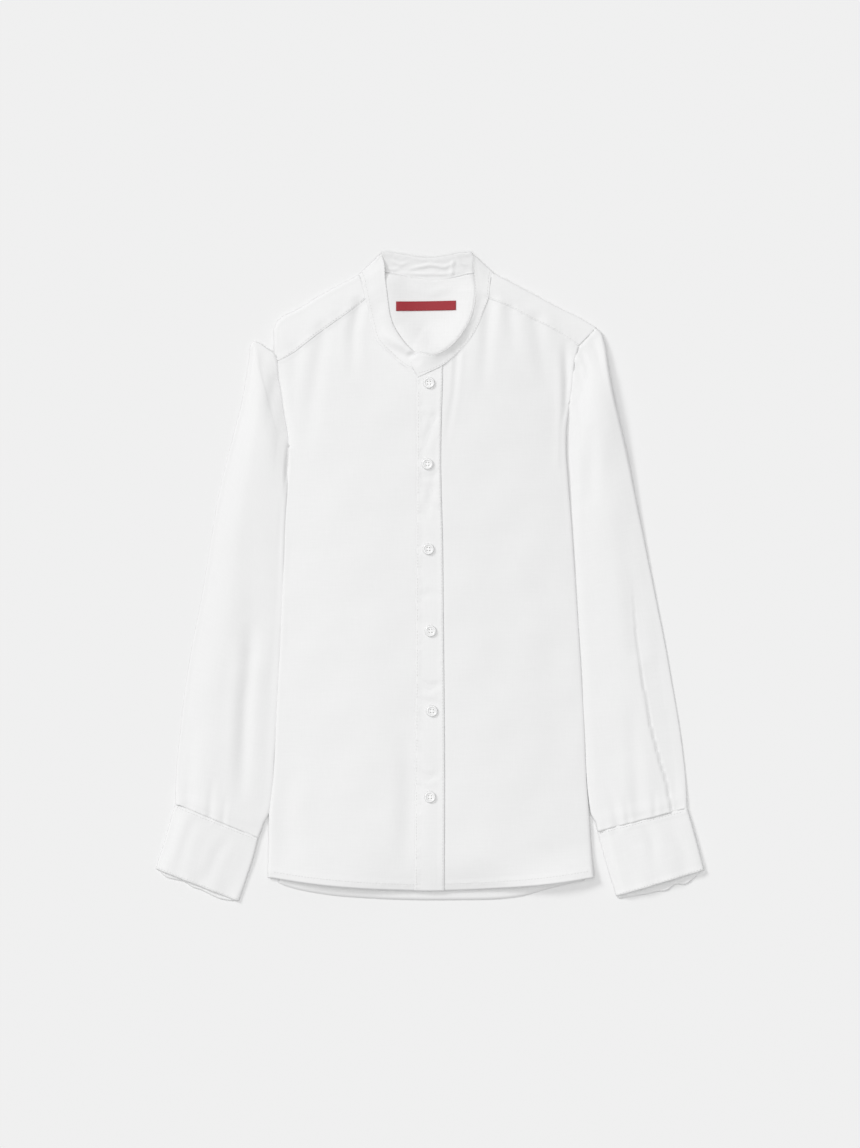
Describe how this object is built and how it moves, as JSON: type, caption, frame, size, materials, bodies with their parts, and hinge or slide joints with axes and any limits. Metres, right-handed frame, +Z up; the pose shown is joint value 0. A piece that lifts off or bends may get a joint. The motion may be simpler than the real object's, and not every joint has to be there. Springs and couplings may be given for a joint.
{
  "type": "mandarin collar shirt",
  "caption": "White long-sleeved linen shirt for a child, with a stand collar, a buttoned placket, a shoulder yoke and open cuffs, laid flat on its back.",
  "frame": {"origin": "middle of the bounding box in X and Y, on the surface that the shirt lies on", "axes": "+Y from the hem towards the collar, +X towards the wearer's left sleeve, +Z up off the surface, out of the shirt's front"},
  "size_m": [0.495, 0.5862, 0.029],
  "materials": {
    "woven_linen": "matt fine woven linen, slightly slubby",
    "label_satin": "plain red woven label",
    "button_pearl": "pearly, slightly translucent"
  },
  "bodies": {
    "root": {"back": "woven_linen", "yoke": "woven_linen", "front_left": "woven_linen", "front_right": "woven_linen", "placket": "woven_linen", "collar_band": "woven_linen", "sleeve_left": "woven_linen", "sleeve_left_under": "woven_linen", "sleeve_right": "woven_linen", "sleeve_right_under": "woven_linen", "cuff_left": "woven_linen", "cuff_right": "woven_linen", "neck_label": "label_satin", "button_1": "button_pearl", "button_2": "button_pearl", "button_3": "button_pearl", "button_4": "button_pearl", "button_5": "button_pearl", "button_6": "button_pearl"}
  },
  "joints": []
}
